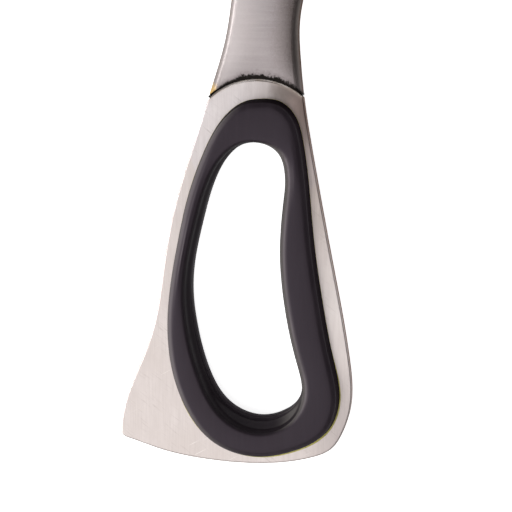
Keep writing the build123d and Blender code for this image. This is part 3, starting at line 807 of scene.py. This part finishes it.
def weld_bead(half, seam, material):
    """The weld's metal, filling the joint up to the shank's end, a little uneven."""
    low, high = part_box(f"{half}_weld_seam")
    levels = (high.z - BEAD_PROUD * MM, low.z + BEAD_PROUD * MM)
    sweep = np.linspace(seam.outer_end + BEAD_TRIM[0], seam.inner_end - BEAD_TRIM[1], BEAD_STEPS)
    draws = np.random.default_rng(BEAD_SEED).normal(0.0, 1.0, BEAD_STEPS + BEAD_SMOOTHING - 1)
    wobbles = np.convolve(draws, np.ones(BEAD_SMOOTHING) / BEAD_SMOOTHING, "valid")
    rows = [bead_row(seam, angle, wobble, levels) for angle, wobble in zip(sweep, wobbles)]
    count = len(rows[0])
    faces = [face for row in range(BEAD_STEPS - 1) for face in quads(row, row + 1, count)]
    faces += [tuple(range(count))[::-1], tuple((BEAD_STEPS - 1) * count + k for k in range(count))]
    return add_piece(f"{half}_weld_bead", [p for row in rows for p in row], faces, material)


# --- the object --------------------------------------------------------------------------------
FRONT_WALL = (0.0140, 0.0090, 0.0130)              # colours of the mouldings' upright walls
# The back moulding's wall colour is paler than the front's: painted light on its lip.
BACK_WALL_PAINTED_LIGHT = (0.0270, 0.0195, 0.0255)

# Each piece's material, its dark and light colours, and its roughness.
BRONZE = ((0.36, 0.22, 0.11), (0.52, 0.34, 0.18), 0.42)
NYLON = ((0.74, 0.73, 0.70), (0.84, 0.83, 0.80), 0.4)
PIN_NYLON = ((0.70, 0.69, 0.65), (0.80, 0.79, 0.76), 0.4)
TURNED = {"pivot_bolt": ("bolt_steel", (0.50, 0.49, 0.48), (0.66, 0.65, 0.64), 0.26),
          "tension_nut": ("nut_steel", (0.42, 0.41, 0.40), (0.60, 0.59, 0.58), 0.32),
          "spring_washer": ("spring_steel", (0.20, 0.20, 0.22), (0.33, 0.33, 0.36), 0.35),
          "head_washer": ("washer_brass", (0.52, 0.36, 0.13), (0.70, 0.52, 0.22), 0.32),
          "pivot_bush": ("pivot_bush_bronze", *BRONZE),
          "thrust_washer": ("thrust_washer_bronze", *BRONZE)}
MOULDED = {"glide_washer": ("glide_washer_nylon", *NYLON),
           "nut_lock_ring": ("nut_lock_ring_nylon", *NYLON),
           "stop_bumper": ("stop_rubber", (0.018, 0.018, 0.018), (0.035, 0.034, 0.033), 0.7)}


def make_half(half, body, turn, glue_material):
    """One half's blade, handle plate, grip mouldings, adhesive and weld."""
    grain = turn - VIEW_ROLL
    seam = Seam(half, turn)
    lines = GripLines(half, turn)
    front_plastic = grip_plastic(f"{half}_front_plastic", grain, -seam.inward, FRONT_WALL)
    back_plastic = grip_plastic(f"{half}_back_plastic", grain, -seam.inward, BACK_WALL_PAINTED_LIGHT)
    dress(f"{half}_blade", blade_steel(f"{half}_blade_steel", grain, seam))
    dress(f"{half}_handle_frame", plate_steel(f"{half}_plate_steel", grain, seam))
    dress(f"{half}_grip_pins", moulded(f"{half}_pin_nylon", *PIN_NYLON))
    for build, node, plastic in ((grip_front, "grip_front", front_plastic),
                                 (grip_back, "grip_back", back_plastic)):
        shell = build(half, lines, plastic)
        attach(shell, body)
        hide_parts(f"{half}_{node}")
    film = glue_line(half, lines, glue_material)
    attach(film, body)
    bead = weld_bead(half, seam, weld_steel(f"{half}_weld_steel", seam))
    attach(bead, body)
    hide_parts(f"{half}_weld_seam")


def dress_pivot():
    """The turned, moulded and rubber pieces at the pivot and the stop."""
    for node, (name, *look) in TURNED.items():
        dress(node, turned_metal(name, *look))
    for node, (name, *look) in MOULDED.items():
        dress(node, moulded(name, *look))


add_camera()
add_studio()
add_floor()
adhesive = glue_film("adhesive_film")
for half, (body, turn) in HALVES.items():
    make_half(half, body, turn, adhesive)
dress_pivot()
